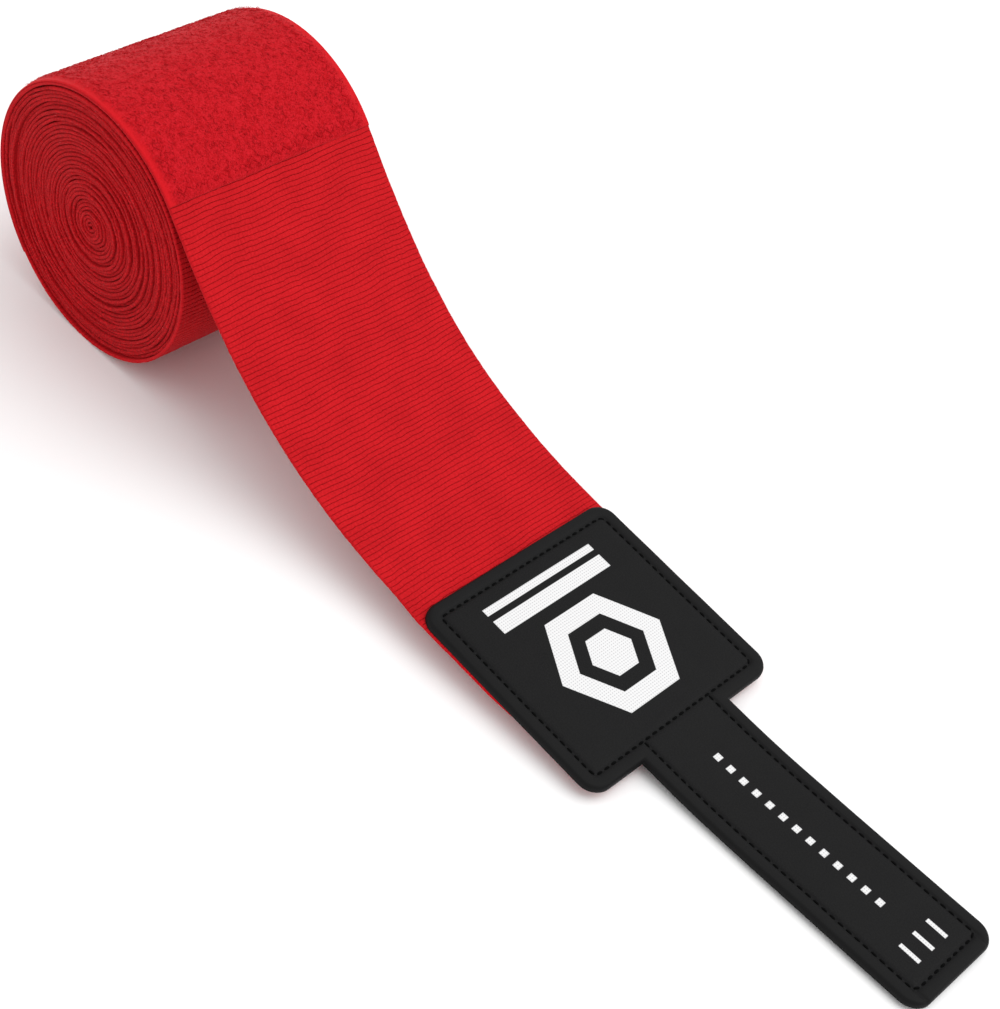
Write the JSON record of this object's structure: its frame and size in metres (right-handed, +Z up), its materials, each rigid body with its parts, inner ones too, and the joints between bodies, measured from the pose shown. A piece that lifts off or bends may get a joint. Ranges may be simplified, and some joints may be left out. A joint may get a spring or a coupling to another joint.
{
  "type": "hand wrap",
  "caption": "Rolled elastic hand wrap with a loop patch, partly unrolled to a T-shaped badge whose strap closes the roll with hook tape.",
  "frame": {"origin": "middle of the length and width, on the surface that the wrap lies on", "axes": "+Z up, +X from the roll along the band to the strap's tip, +Y along the roll's axis"},
  "size_m": [0.2383, 0.05, 0.0584],
  "materials": {
    "band": "matte",
    "webbing": "matte",
    "loop_pile": "matte",
    "coated_face": "satin",
    "stitching": "matte",
    "hook_tape": "matte"
  },
  "bodies": {
    "roll": {"wound_band": "band", "thumb_loop": "webbing", "loop_patch": "loop_pile"},
    "run_1": {"run_1": "band"},
    "run_2": {"run_2": "band"},
    "run_3": {"run_3": "band"},
    "run_4": {"run_4": "band"},
    "run_5": {"run_5": "band"},
    "run_6": {"run_6": "band"},
    "run_7": {"run_7": "band"},
    "run_8": {"run_8": "band"},
    "badge_1": {"band_end_1": "band", "badge_1": "coated_face", "badge_stitching_1": "stitching"},
    "badge_2": {"band_end_2": "band", "badge_2": "coated_face", "badge_stitching_2": "stitching"},
    "badge_3": {"band_end_3": "band", "badge_3": "coated_face", "badge_stitching_3": "stitching"},
    "badge_4": {"band_end_4": "band", "badge_4": "coated_face", "badge_stitching_4": "stitching"},
    "strap_root": {"strap_root": "coated_face", "strap_root_stitching": "stitching"},
    "strap_1": {"strap_1": "coated_face", "strap_stitching_1": "stitching", "hook_tape_1": "hook_tape"},
    "strap_2": {"strap_2": "coated_face", "strap_stitching_2": "stitching", "hook_tape_2": "hook_tape"},
    "strap_3": {"strap_3": "coated_face", "strap_stitching_3": "stitching", "hook_tape_3": "hook_tape"},
    "strap_4": {"strap_4": "coated_face", "strap_stitching_4": "stitching", "hook_tape_4": "hook_tape"},
    "strap_5": {"strap_5": "coated_face", "strap_stitching_5": "stitching", "hook_tape_5": "hook_tape"},
    "strap_6": {"strap_6": "coated_face", "strap_stitching_6": "stitching", "hook_tape_6": "hook_tape"}
  },
  "joints": [
    {"name": "roll_up", "type": "hinge", "parent": "roll", "child": "run_1", "pos_m": [-0.06839, 0, 0.04786], "axis": [0, 1, 0], "range_deg": [0, 12.12]},
    {"name": "curl_run_2", "type": "hinge", "parent": "run_1", "child": "run_2", "pos_m": [-0.06067, 0, 0.03968], "axis": [0, 1, 0], "range_deg": [0, 25.06]},
    {"name": "curl_run_3", "type": "hinge", "parent": "run_2", "child": "run_3", "pos_m": [-0.05256, 0, 0.03188], "axis": [0, 1, 0], "range_deg": [0, 27.1]},
    {"name": "curl_run_4", "type": "hinge", "parent": "run_3", "child": "run_4", "pos_m": [-0.04381, 0, 0.0248], "axis": [0, 1, 0], "range_deg": [0, 28.42]},
    {"name": "curl_run_5", "type": "hinge", "parent": "run_4", "child": "run_5", "pos_m": [-0.03436, 0, 0.01871], "axis": [0, 1, 0], "range_deg": [0, 29.04]},
    {"name": "curl_run_6", "type": "hinge", "parent": "run_5", "child": "run_6", "pos_m": [-0.02424, 0, 0.01379], "axis": [0, 1, 0], "range_deg": [0, 28.95]},
    {"name": "curl_run_7", "type": "hinge", "parent": "run_6", "child": "run_7", "pos_m": [-0.01361, 0, 0.01012], "axis": [0, 1, 0], "range_deg": [0, 28.16]},
    {"name": "curl_run_8", "type": "hinge", "parent": "run_7", "child": "run_8", "pos_m": [-0.00264, 0, 0.0076], "axis": [0, 1, 0], "range_deg": [0, 23.49]},
    {"name": "curl_badge_1", "type": "hinge", "parent": "run_8", "child": "badge_1", "pos_m": [0.00849, 0, 0.00597], "axis": [0, 1, 0], "range_deg": [0, 27.13]},
    {"name": "curl_badge_2", "type": "hinge", "parent": "badge_1", "child": "badge_2", "pos_m": [0.02018, 0, 0.00478], "axis": [0, 1, 0], "range_deg": [0, 22.56]},
    {"name": "curl_badge_3", "type": "hinge", "parent": "badge_2", "child": "badge_3", "pos_m": [0.03187, 0, 0.00364], "axis": [0, 1, 0], "range_deg": [0, 22.23]},
    {"name": "curl_badge_4", "type": "hinge", "parent": "badge_3", "child": "badge_4", "pos_m": [0.04357, 0, 0.00249], "axis": [0, 1, 0], "range_deg": [0, 22.1]},
    {"name": "curl_strap_root", "type": "hinge", "parent": "badge_4", "child": "strap_root", "pos_m": [0.05526, 0, 0.00135], "axis": [0, 1, 0], "range_deg": [0, 21.67]},
    {"name": "strap_lift", "type": "hinge", "parent": "strap_root", "child": "strap_1", "pos_m": [0.06078, 0, 0.00331], "axis": [0, -1, 0], "range_deg": [0, 75]},
    {"name": "curl_strap_2", "type": "hinge", "parent": "strap_1", "child": "strap_2", "pos_m": [0.06589, 0, 0.00044], "axis": [0, 1, 0], "range_deg": [0, 23.27]},
    {"name": "curl_strap_3", "type": "hinge", "parent": "strap_2", "child": "strap_3", "pos_m": [0.07655, 0, 0.00017], "axis": [0, 1, 0], "range_deg": [0, 21.19]},
    {"name": "curl_strap_4", "type": "hinge", "parent": "strap_3", "child": "strap_4", "pos_m": [0.08722, 0, 0.00017], "axis": [0, 1, 0], "range_deg": [0, 19.64]},
    {"name": "curl_strap_5", "type": "hinge", "parent": "strap_4", "child": "strap_5", "pos_m": [0.09789, 0, 0.00017], "axis": [0, 1, 0], "range_deg": [0, 19.54]},
    {"name": "curl_strap_6", "type": "hinge", "parent": "strap_5", "child": "strap_6", "pos_m": [0.10855, 0, 0.00017], "axis": [0, 1, 0], "range_deg": [0, 19.45]}
  ],
  "couplings": [
    {"joint": "curl_run_2", "follows": "curl_run_5", "ratio": 0.863},
    {"joint": "curl_run_3", "follows": "curl_run_5", "ratio": 0.93301},
    {"joint": "curl_run_4", "follows": "curl_run_5", "ratio": 0.97868},
    {"joint": "curl_run_6", "follows": "curl_run_7", "ratio": 1.0283},
    {"joint": "curl_run_8", "follows": "curl_badge_2", "ratio": 1.0414},
    {"joint": "curl_badge_1", "follows": "curl_badge_2", "ratio": 1.2026},
    {"joint": "curl_badge_3", "follows": "curl_badge_2", "ratio": 0.98537},
    {"joint": "curl_badge_4", "follows": "curl_badge_2", "ratio": 0.9799},
    {"joint": "curl_strap_root", "follows": "curl_badge_2", "ratio": 0.9605},
    {"joint": "curl_strap_3", "follows": "curl_strap_2", "ratio": 0.9104},
    {"joint": "curl_strap_4", "follows": "curl_strap_2", "ratio": 0.8439},
    {"joint": "curl_strap_5", "follows": "curl_strap_2", "ratio": 0.83977},
    {"joint": "curl_strap_6", "follows": "curl_strap_2", "ratio": 0.83567}
  ]
}
